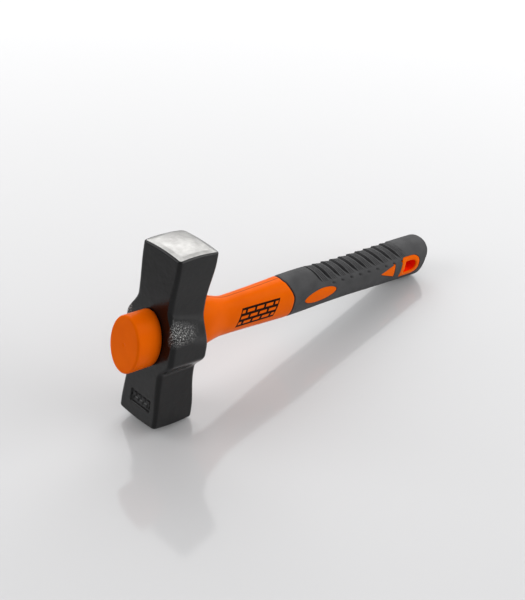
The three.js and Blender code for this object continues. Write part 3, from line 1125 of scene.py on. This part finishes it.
@dataclass
class HandleForm:
    """The outside of the handle, shared by the jacket and the grip: an oval carried along the axis.

    heights and widths are the oval's half sizes at stations along the handle, and drops how far its
    middle lies below the axis there. A flare holds how much it adds at the head and the places between
    which it runs out. rounding holds the butt's radius over the top and underneath. gap keeps the jacket
    clear of the grip, and slack keeps the grip's windows clear of the pads. beyond is a distance from the
    axis that lies outside the handle.
    """

    heights: tuple[tuple[float, float], ...] = (
        (17, 13.5), (50, 13.6), (81, 14.6), (105, 15.45), (119, 15.4),
        (137, 14.8), (156, 14.2), (200, 14.2), (225, 14.3), (249, 14.4),
    )
    widths: tuple[tuple[float, float], ...] = (
        (17, 9.3), (50, 9.4), (81, 10.1), (105, 11.0), (119, 11.3),
        (137, 11.5), (156, 11.8), (200, 12.7), (225, 13.1), (249, 13.0),
    )
    drops: tuple[tuple[float, float], ...] = (
        (17, 0.9), (60, 0.9), (85, 0.75), (108, 0.4), (135, 0.1), (160, 0.2), (249, 0.4),
    )
    root: float = 15.5
    upper_flare: tuple[float, float, float] = (5.2, 25.0, 48.5)
    lower_flare: tuple[float, float, float] = (2.9, 17.0, 42.0)
    side_flare: tuple[float, float, float] = (3.3, 22.0, 46.0)
    butt: float = 244.2
    butt_lean: float = 2.0
    rounding: tuple[float, float] = (2.0, 5.4)
    least_rounding: float = 2.5
    power: float = 2.2
    seam_height: float = 0.1
    grip_wall: float = 2.6
    grip_start: float = 104.7
    grip_top_reach: float = 6.3
    grip_step: float = 1.2
    gap: float = 1.0
    slack: float = 0.35
    beyond: float = 20.0

    def angles(self) -> np.ndarray:
        """Directions round the handle from +Y over the top, closer together beside the two witness lines.

        Returns:
            The directions, in radians.
        """
        even = np.arange(0.0, 360.0, 1.8)
        seam = np.array([-1.6, -1.0, -0.5, 0.5, 1.0, 1.6])
        spread = even[(np.abs(even % 180 - 90) > 2.4) | (np.abs(even % 180 - 90) < 0.1)]
        return np.radians(np.sort(np.concatenate([spread, seam + 90, seam + 270])))

    def half_sizes(self, x: np.ndarray, upper: np.ndarray) -> tuple[np.ndarray, np.ndarray]:
        """Half the height and half the width at x, with the flare that beds on the head.

        Args:
            x: places along the handle.
            upper: whether the place is in the upper half, where the flare is taller and longer.

        Returns:
            The half height and the half width.
        """
        flares = (self.upper_flare, self.lower_flare, self.side_flare)
        above, below, beside = (most * (1.0 - ease(x, start, end)) for most, start, end in flares)
        height = through(x, self.heights) + np.where(upper, above, below)
        return height, through(x, self.widths) + beside

    def at(self, x: np.ndarray, angle: np.ndarray, depth: Any = 0.0) -> np.ndarray:
        """Points of the handle's surface.

        In each direction the surface is at (|cos/w|^p + |sin/h|^p)^(-1/p) from the oval's middle, where h
        and w are the half height and half width less the depth.

        Args:
            x: places along the handle.
            angle: directions round it.
            depth: how far below the outside.

        Returns:
            Points, in the shape of x and angle together, with a last axis of 3.
        """
        cos, sin = np.cos(angle), np.sin(angle)
        height, width = self.half_sizes(x, sin > 0)
        height, width = height - depth, width - depth
        beside, above = (np.abs(cos) / width) ** self.power, (np.abs(sin) / height) ** self.power
        distance = (beside + above) ** (-1 / self.power)
        x, y, z = np.broadcast_arrays(x, distance * cos, distance * sin - through(x, self.drops))
        return np.stack([x, y, z], axis=-1)

    def side(self, x: np.ndarray, z: np.ndarray) -> np.ndarray:
        """Half width of the surface at x and height z: w (1 - |z/h|^p)^(1/p).

        Args:
            x: places along the handle.
            z: heights above the axis.

        Returns:
            The half widths.
        """
        z = z + through(x, self.drops)
        height, width = self.half_sizes(x, z > 0)
        return width * np.maximum(1.0 - np.abs(z / height) ** self.power, 0.0) ** (1 / self.power)

    def grip_edge(self, angle: np.ndarray) -> np.ndarray:
        """Where the grip begins in each direction.

        It begins square on the sides. Over the top it reaches towards the head with the square of the
        rise, and then by a short step beside the very top.

        Args:
            angle: directions round the handle.

        Returns:
            Places along the handle.
        """
        rise = np.sin(angle)
        t = np.clip((rise - 0.1) / 0.85, 0.0, 1.0)
        return self.grip_start - self.grip_top_reach * t * t - self.grip_step * ease(rise, 0.93, 0.985)

    def seam(self, angle: np.ndarray) -> np.ndarray:
        """Height of the mould's witness line, a sliver along the top and the bottom."""
        return self.seam_height * (np.abs(np.cos(angle)) < 0.006)

    def butt_rows(
        self, angle: np.ndarray, depth: float, count: int = 12
    ) -> tuple[np.ndarray, np.ndarray]:
        """The rows that close the butt along a quarter round, tighter over the top than elsewhere.

        The end leans, so that its top lies a little further along the handle than its underside.

        Args:
            angle: directions round the handle.
            depth: how far below the outside the surface lies.
            count: how many rows.

        Returns:
            The rows' places along the handle and their depths, each rows x directions.
        """
        over, under = self.rounding
        radius = over + (under - over) * ease(-np.sin(angle), -0.9, 0.1) - depth
        radius = np.maximum(radius, self.least_rounding)
        turn = np.linspace(0.0, math.pi / 2, count)[:, None]
        x = self.butt + self.butt_lean * np.sin(angle) - depth - radius * (1 - np.sin(turn))
        closing = depth + radius * (1 - np.cos(turn))
        inward = closing[-1] + np.array([[1.6], [3.0]])
        return np.vstack([x, x[-1:], x[-1:]]), np.vstack([closing, inward])


@dataclass
class Jacket:
    """The orange moulding: bare from head to grip, thinner under the grip, with pads that fill its windows.

    stem holds the half height and half width of the part inside the eye, and bore those of the hole for
    the rod. The collar is the outline of the hanging hole's rim, and the hole its inside.
    """

    form: HandleForm
    stem_start: float = -12.5
    stem: tuple[float, float] = (13.4, 8.9)
    core_end: float = 206.3
    bore: tuple[float, float] = (9.3, 5.7)
    pads: tuple[Outline, ...] = (LeafOutline(130.2, -1.3), ArrowOutline(201.8, -0.1))
    pad_foot: float = 3.4
    collar: DOutline = field(default_factory=lambda: DOutline(223.5, 0.0))
    hole: DOutline = field(default_factory=lambda: DOutline(223.5, 0.0, 5.0, 7.2, 4.3, 2.5))

    def oval(self, x: float, half: tuple[float, float], angle: np.ndarray) -> np.ndarray:
        """One row of an oval bar or bore at x."""
        return np.stack([np.full_like(angle, x), half[1] * np.cos(angle), half[0] * np.sin(angle)], axis=-1)

    def body(self) -> Shell:
        """The moulding in one run: out along the bore, round the stem, along the outside, then the lining.

        Returns:
            The shell.
        """
        form = self.form
        angle = form.angles()
        rows = [self.oval(x, self.bore, angle) for x in (self.core_end, 100.0, 20.0, self.stem_start)]
        rows += [self.oval(x, self.stem, angle) for x in (self.stem_start, 0.0, form.root)]
        rows += [form.at(np.full_like(angle, form.root), angle, d) for d in (1.2, 0.5, 0.12)]
        end = form.grip_edge(angle) - form.gap
        bare = end - 0.5 - form.root - 0.1
        for share in np.linspace(0.0, 1.0, 80) ** 1.15:
            rows.append(form.at(form.root + 0.1 + bare * share, angle, -form.seam(angle)))
        for x, depth in ((0.25, 0.05), (0.05, 0.2), (0.0, 0.5), (0.0, form.grip_wall + form.gap)):
            rows.append(form.at(end - x, angle, depth))
        lining, closing = form.butt_rows(angle, form.grip_wall + form.gap, 8)
        for x in np.linspace(form.grip_start + 1.0, lining[0], 16)[:-1]:
            rows.append(form.at(x, angle, form.grip_wall + form.gap))
        for x, depth in zip(lining, closing):
            rows.append(form.at(x, angle, depth))
        return Shell(np.stack(rows))

    def pad(self, outline: Outline, sign: float) -> Shell:
        """A pad that fills a window: its top follows the handle's side, and its foot stands in the lining.

        Args:
            outline: the window's outline.
            sign: the side, 1 for +Y and -1 for -Y.

        Returns:
            The pad.
        """
        rim = outline.curve()
        middle = np.array([outline.x, outline.z])
        reach = np.linalg.norm(rim - middle, axis=1)[:, None]
        rows = []
        for share in (0.06, 0.2, 0.35, 0.5, 0.65, 0.8, 0.9):
            rows.append((middle + (rim - middle) * share, 0.0))
        for inset, depth in ((0.45, 0.0), (0.2, 0.07), (0.05, 0.22), (0.0, 0.5), (0.0, self.pad_foot)):
            rows.append((middle + (rim - middle) * (1 - inset / reach), depth))
        rows.append((middle + (rim - middle) * 0.3, self.pad_foot))
        points = []
        for spot, depth in rows:
            y = sign * (self.form.side(spot[:, 0], spot[:, 1]) - depth)
            points.append(np.stack([spot[:, 0], y, spot[:, 1]], axis=-1))
        return Shell(np.stack(points))

    def hanging_collar(self) -> Shell:
        """The collar of the hanging hole, a ring that runs right through the butt with rounded rims.

        The profile of its rim goes from the collar's outline to the hole's, by shares of the way and by
        depths.

        Returns:
            The shell. The wall of the hole has finish 1, and the rest has finish 0.
        """
        outer, inner = self.collar.curve(), self.hole.curve()
        profile = (
            (0.0, 0.6), (0.02, 0.2), (0.1, 0.03), (0.3, 0.0),
            (0.6, 0.0), (0.85, 0.05), (0.95, 0.25), (1.0, 0.8),
        )
        near = []
        for share, depth in profile:
            spot = outer + (inner - outer) * share
            y = self.form.side(spot[:, 0], spot[:, 1]) - depth
            near.append(np.stack([spot[:, 0], y, spot[:, 1]], axis=-1))
        mirrored = [row * np.array([1.0, -1.0, 1.0]) for row in reversed(near)]
        wall = [near[-1] + (mirrored[0] - near[-1]) * t for t in (0.2, 0.4, 0.6, 0.8)]
        outside = [mirrored[-1] + (near[0] - mirrored[-1]) * t for t in (0.25, 0.5, 0.75)]
        rows = near + wall + mirrored + outside
        deep = np.arange(len(rows))
        inside = (deep >= len(near) - 1) & (deep < len(near) + len(wall))
        return Shell(np.stack(rows), Ends.RING, inside.astype(int))

    def make(
        self, place: Matrix, plastic: bpy.types.Material, hole_wall_painted_bounce: bpy.types.Material
    ) -> bpy.types.Object:
        """Builds the jacket and puts it in the CAD jacket's place.

        Args:
            place: the matrix from the hammer's frame to the row frame.
            plastic: its finish, with the printed mark.
            hole_wall_painted_bounce: the finish of the hanging hole's wall, painted redder than the plastic
                to stand in for light bounced between the orange walls inside the hole.

        Returns:
            The jacket.
        """
        piece = build_mesh("jacket_moulding", [self.body()], [plastic])
        middle = (self.collar.curve() + self.hole.curve()) / 2
        cut(piece, [prism(middle, -self.form.beyond, self.form.beyond)])
        pads = [self.pad(outline, sign) for outline in self.pads for sign in (-1.0, 1.0)]
        extra = build_mesh("pads", pads + [self.hanging_collar()], [plastic, hole_wall_painted_bounce])
        join(piece, extra)
        settle(piece, place)
        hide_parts("jacket")
        return piece


def prism(outline: np.ndarray, low: float, high: float) -> Shell:
    """A bar across the handle with an outline in X and Z, from y = low to y = high."""
    x, z = outline.T
    return Shell(np.stack([np.stack([x, np.full_like(x, y), z], axis=-1) for y in (low, high)]))


def join(piece: bpy.types.Object, extra: bpy.types.Object) -> None:
    """Moves another object's mesh into a piece."""
    with bpy.context.temp_override(active_object=piece, selected_editable_objects=[piece, extra]):
        bpy.ops.object.join()


@dataclass
class Grip:
    """The soft overmould: a sleeve closed at the butt, with windows and with saw-tooth ridges over its top.

    notch is the depth of the slot before a ridge, fall how far a ridge sinks towards the next, and line
    the depth of its fine lines. lean is how far the ridges lie back down the sides. Pits end the slots on
    the sides.
    """

    form: HandleForm
    jacket: Jacket
    ridges: int = 10
    ridge_start: float = 125.6
    pitch: float = 9.1
    notch: float = 2.45
    fall: float = 1.1
    line: float = 0.85
    line_half: float = 0.34
    lean: float = 13.0
    pit_depth: float = 1.5
    window_floor: float = 4.0

    def spacing(self) -> np.ndarray:
        """Places of the rows along one ridge: in the slot, on the step after it, and at the fine lines.

        Returns:
            The places, from the step.
        """
        slot = np.array([-2.15, -2.0, -1.75, -1.5, -0.8, -0.2, -0.05, 0.1, 0.6])
        line = np.array([-1.0, -0.5, 0.0, 0.5, 1.0]) * self.line_half
        return np.concatenate([slot] + [centre + line for centre in self.lines()] + [np.array([6.4])])

    def lines(self) -> tuple[float, float, float]:
        """Where the fine lines lie after each step."""
        return 1.7, 3.3, 4.9

    def rows(self) -> np.ndarray:
        """Places of all rows of the outside, before the ridges lean.

        Returns:
            The places along the handle.
        """
        form = self.form
        starts = self.ridge_start + self.pitch * np.arange(self.ridges)
        ridged = (starts[:, None] + self.spacing()).ravel()
        before = np.linspace(form.grip_start + 0.5, ridged[0] - 0.8, 26)
        after = np.linspace(ridged[-1] + 1.0, form.butt - form.rounding[1] - 0.5, 26)
        return np.concatenate([before, ridged, after])

    def relief(self, s: np.ndarray, angle: np.ndarray) -> np.ndarray:
        """Depth of the ridges.

        Towards the butt each ridge sinks evenly, drops into a slot, and steps up steeply to the next one.
        Fine lines run along it. Round the handle all this is deepest over the top and runs out on the
        sides, where each slot after the first ends in a small pit, whose depth is a bell curve both ways.

        Args:
            s: the rows' places, before the lean.
            angle: directions round the handle.

        Returns:
            The depth below the outside.
        """
        rise = np.sin(angle)
        number = np.floor((s - self.ridge_start + 2.2) / self.pitch)
        u = s - self.ridge_start - number * self.pitch
        inside = (number >= 0) & (number < self.ridges)
        strength = np.where(number == 0, 0.6, 1.0)
        top = ease(rise, 0.54, 0.92) * strength
        narrow = u / (0.4 + 0.6 * top)
        slot = np.clip((narrow + 2.0) / 0.5, 0, 1) * np.clip((0.1 - narrow) / 0.3, 0, 1)
        after = np.where(number > 0, 1.0, 0.0) * (u < 0)
        ramp = np.clip(u / self.pitch, 0, 1) + after * (1 + u / self.pitch)
        fine = sum(np.maximum(1 - np.abs(u - centre) / self.line_half, 0.0) for centre in self.lines())
        pit = (number > 0) * np.exp(-(((u + 0.6) / 1.1) ** 2)) * np.exp(-(((rise - 0.43) / 0.06) ** 2))
        cut_depth = self.notch * slot * top + self.fall * ramp * top * (1 - slot)
        return inside * (cut_depth + self.line * fine * ease(rise, 0.55, 0.75) + self.pit_depth * pit)

    def shift(self, s: np.ndarray, angle: np.ndarray) -> np.ndarray:
        """How far a row moves along the handle in each direction.

        At the front it follows the grip's edge. Over the ridges it leans back towards the butt down the
        sides, by the lean times (1 - sin)^0.9.

        Args:
            s: the rows' places.
            angle: directions round the handle.

        Returns:
            The movement towards the butt.
        """
        form = self.form
        front = 1.0 - ease(s, form.grip_start, form.grip_start + 16.0)
        end = self.ridge_start + self.ridges * self.pitch
        ridged = ease(s, self.ridge_start - 12.0, self.ridge_start) * (1.0 - ease(s, end - 4.0, end + 16.0))
        rise = np.clip(np.sin(angle), 0.0, 1.0)
        return front * (form.grip_edge(angle) - form.grip_start) + ridged * self.lean * (1.0 - rise) ** 0.9

    def body(self) -> Shell:
        """The sleeve in one run: the cavity from its end to the front rim, then the outside to the butt.

        Returns:
            The shell.
        """
        form = self.form
        angle = form.angles()
        inner_x, inner_depth = form.butt_rows(angle, form.grip_wall, 8)
        rows = [form.at(x, angle, d) for x, d in zip(inner_x[::-1], inner_depth[::-1])]
        for x in np.linspace(inner_x[0], form.grip_start + 8.0, 16)[1:]:
            rows.append(form.at(x, angle, form.grip_wall))
        edge = form.grip_edge(angle)
        for x, depth in ((0.0, form.grip_wall), (0.0, 0.6), (0.06, 0.25), (0.22, 0.06)):
            rows.append(form.at(edge + x, angle, depth))
        s = self.rows()[:, None]
        outside = form.at(s + self.shift(s, angle), angle, self.relief(s, angle) - form.seam(angle))
        outer_x, outer_depth = form.butt_rows(angle, 0.0)
        closing = [form.at(x, angle, d) for x, d in zip(outer_x, outer_depth)]
        return Shell(np.concatenate([np.stack(rows), outside, np.stack(closing)]))

    def windows(self) -> list[Shell]:
        """The openings for the pads on each side, and the one through the butt for the collar.

        Returns:
            The spaces to cut away.
        """
        slack, beyond = self.form.slack, self.form.beyond
        cutters = []
        for outline in self.jacket.pads:
            cutters.append(prism(outline.curve(slack), self.window_floor, beyond))
            cutters.append(prism(outline.curve(slack), -beyond, -self.window_floor))
        return cutters + [prism(self.jacket.collar.curve(slack), -beyond, beyond)]

    def make(self, place: Matrix, rubber: bpy.types.Material) -> bpy.types.Object:
        """Builds the grip and puts it in the CAD grip's place.

        Args:
            place: the matrix from the hammer's frame to the row frame.
            rubber: its finish.

        Returns:
            The grip.
        """
        piece = build_mesh("grip_overmould", [self.body()], [rubber])
        cut(piece, self.windows())
        settle(piece, place)
        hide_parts("grip")
        return piece


@dataclass
class EyeCap:
    """The oval cap in front of the eye, with a flat end, a rounded rim and a blind bore for the rod."""

    base: float = -15.7
    end: float = -34.3
    half: tuple[float, float] = (19.6, 13.2)
    rim: float = 1.3
    bore: tuple[float, float] = (9.3, 5.7)
    bore_end: float = -28.3
    gate: float = 1.3

    def surface(self) -> Shell:
        """The cap in one run: from the middle of its end over the rim to the base, and in along the bore.

        The rim is a quarter round. The end has the small sunk dot that the mould's gate leaves.

        Returns:
            The shell.
        """
        angle = np.arange(160) * TAU / 160
        rows = []
        for radius, sink in ((0.25, 0.3), (0.8, 0.28), (self.gate, 0.02), (self.gate + 0.4, 0.0)):
            rows.append((self.end + sink, radius, radius))
        flat = (self.half[0] - self.rim, self.half[1] - self.rim)
        for share in (0.3, 0.5, 0.7, 0.85, 0.95):
            rows.append((self.end, flat[0] * share, flat[1] * share))
        for turn in np.linspace(0.0, math.pi / 2, 9):
            grow = self.rim * math.sin(turn)
            rows.append((self.end + self.rim * (1 - math.cos(turn)), flat[0] + grow, flat[1] + grow))
        for x in np.linspace(self.end + self.rim + 1.0, self.base - 0.4, 9):
            rows.append((x, self.half[0], self.half[1]))
        rows += [(self.base, self.half[0] - 0.35, self.half[1] - 0.35)]
        rows += [(self.base, self.bore[0] + 0.4, self.bore[1] + 0.4), (self.base - 0.4, *self.bore)]
        rows += [(self.bore_end, *self.bore), (self.bore_end, self.bore[0] * 0.4, self.bore[1] * 0.4)]
        x, half_z, half_y = (np.array(v)[:, None] for v in zip(*rows))
        y, z = half_y * np.cos(angle), half_z * np.sin(angle)
        return Shell(np.stack([np.broadcast_to(x, y.shape), y, z], axis=-1))

    def make(self, place: Matrix, plastic: bpy.types.Material) -> bpy.types.Object:
        """Builds the cap and puts it in the CAD cap's place.

        Args:
            place: the matrix from the hammer's frame to the row frame.
            plastic: its finish.

        Returns:
            The cap.
        """
        piece = build_mesh("eye_cap_moulding", [self.surface()], [plastic])
        settle(piece, place)
        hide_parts("eye_cap")
        return piece


# ---------------------------------------------------------------------------------------------------------
# the studio
# ---------------------------------------------------------------------------------------------------------


@dataclass(frozen=True)
class Softbox:
    """A rectangular light that faces the hammer, placed by its direction and given by its brightness."""

    name: str
    azimuth: float
    elevation: float
    distance: float
    size: tuple[float, float]
    radiance: float

    def hang(self) -> None:
        """Adds the light. A flat light of area A and radiance L gives out pi A L watts."""
        data = bpy.data.lights.new(self.name, "AREA")
        data.shape = "RECTANGLE"
        data.size, data.size_y = self.size
        data.energy = math.pi * self.size[0] * self.size[1] * self.radiance
        light = bpy.data.objects.new(self.name, data)
        outward = direction(self.azimuth, self.elevation)
        facing = outward.to_track_quat("Z", "Y").to_matrix().to_4x4()
        light.matrix_world = Matrix.Translation(outward * self.distance) @ facing
        light.visible_camera = False
        bpy.context.scene.collection.objects.link(light)


def direction(azimuth: float, elevation: float) -> Vector:
    """The unit vector at an azimuth and an elevation in degrees."""
    turn, rise = math.radians(azimuth), math.radians(elevation)
    return Vector((math.cos(rise) * math.cos(turn), math.cos(rise) * math.sin(turn), math.sin(rise)))


@dataclass
class Studio:
    """A pale glossy floor, three softboxes round the hammer, and the camera, in metres in the row frame."""

    aim: tuple[float, float, float] = (-0.0618, -0.0403, 0.088)
    distance: float = 0.82
    azimuth: float = -134.9
    elevation: float = 36.16
    roll: float = 1.89
    lens: float = 81.0
    floor_half: float = 6.0
    floor_colour: str = "#C7C7C8"
    ambient: float = 0.53
    softboxes: tuple[Softbox, ...] = (
        Softbox("softbox_behind", 45.0, 37.0, 2.2, (2.6, 1.8), 2.6),
        Softbox("softbox_left", 140.0, 32.0, 2.0, (1.3, 1.1), 2.8),
        Softbox("softbox_right", -50.0, 26.0, 2.0, (1.7, 1.4), 3.1),
    )

    def board(self) -> bpy.types.Material:
        """Builds the floor's finish: pale lacquered board, whose faint haze blurs what it mirrors.

        Returns:
            The material.
        """
        material = bpy.data.materials.new("pale_glossy_board")
        material.use_nodes = True
        tree = material.node_tree
        tree.nodes.clear()
        where = add(tree, "ShaderNodeTexCoord")
        inputs = {"Vector": where.outputs["Object"], "Scale": 3.0, "Detail": 2.0}
        haze = add(tree, "ShaderNodeTexNoise", inputs)
        inputs = {"Value": haze.outputs["Fac"], "To Min": 0.07, "To Max": 0.13}
        gloss = add(tree, "ShaderNodeMapRange", inputs)
        inputs = {"Base Color": linear(self.floor_colour), "Roughness": gloss.outputs[0], "IOR": 1.36}
        shader = add(tree, "ShaderNodeBsdfPrincipled", inputs)
        add(tree, "ShaderNodeOutputMaterial", {"Surface": shader.outputs[0]})
        return material

    def lay_floor(self) -> None:
        """Lays the floor, a square sheet of board under the hammer."""
        mesh = bpy.data.meshes.new("floor")
        h = self.floor_half
        mesh.from_pydata([(-h, -h, 0), (h, -h, 0), (h, h, 0), (-h, h, 0)], [], [(0, 1, 2, 3)])
        mesh.materials.append(self.board())
        floor = bpy.data.objects.new("floor", mesh)
        bpy.context.scene.collection.objects.link(floor)

    def light(self) -> None:
        """Lights the hammer: a dim surround, and softboxes behind it and on its left and right."""
        world = bpy.data.worlds.new("studio")
        bpy.context.scene.world = world
        world.use_nodes = True
        tree = world.node_tree
        tree.nodes.clear()
        glow = add(tree, "ShaderNodeBackground", {"Color": linear("#FFFFFF"), "Strength": self.ambient})
        add(tree, "ShaderNodeOutputWorld", {"Surface": glow.outputs[0]})
        for softbox in self.softboxes:
            softbox.hang()
        bpy.context.scene.view_settings.view_transform = "Standard"

    def set_camera(self) -> None:
        """Sets the camera on a sphere about its aim, turned level and then rolled."""
        data = bpy.data.cameras.new("camera")
        data.lens = self.lens
        data.sensor_width = 36.0
        camera = bpy.data.objects.new("camera", data)
        outward = direction(self.azimuth, self.elevation)
        level = outward.to_track_quat("Z", "Y").to_matrix().to_4x4()
        turn = Matrix.Rotation(math.radians(self.roll), 4, "Z")
        camera.matrix_world = Matrix.Translation(Vector(self.aim) + outward * self.distance) @ level @ turn
        bpy.context.scene.collection.objects.link(camera)
        bpy.context.scene.camera = camera


def main() -> None:
    """Builds the hammer's pieces in order, then the studio."""
    logging.basicConfig(level=logging.INFO, format="%(name)s: %(message)s")
    place = HammerFrame.from_mounts(frame["record"]["mounts"])
    matrix = place.matrix()
    orange = OrangePolypropylene(place).material()
    form = HandleForm()
    jacket = Jacket(form)
    Head(place.half_height).make(matrix, BlackHeadPaint(place).material(), GroundSteel(place).material())
    printed = OrangePolypropylene(place, name="orange_polypropylene_printed", printed=True)
    # The hole wall's redder orange is painted light: it stands in for light bounced between the orange
    # walls inside the hanging hole.
    hole_wall_painted_bounce = OrangePolypropylene(
        place, name="orange_polypropylene_painted_bounce_light_in_hole", colour="#FF2A02", deep="#F62200"
    )
    jacket.make(matrix, printed.material(), hole_wall_painted_bounce.material())
    Grip(form, jacket).make(matrix, GripRubber(place).material())
    EyeCap().make(matrix, orange)
    inner = {"fibre_core": GlassFibre(place).material(), "eye_resin": CastEpoxy(place).material()}
    for name, material in inner.items():
        node = frame["nodes"][name]
        node.data.materials.clear()
        node.data.materials.append(material)
        LOG.info("%s: carried over from the CAD model", name)
    studio = Studio()
    studio.lay_floor()
    studio.light()
    studio.set_camera()


if __name__ == "__main__":
    main()
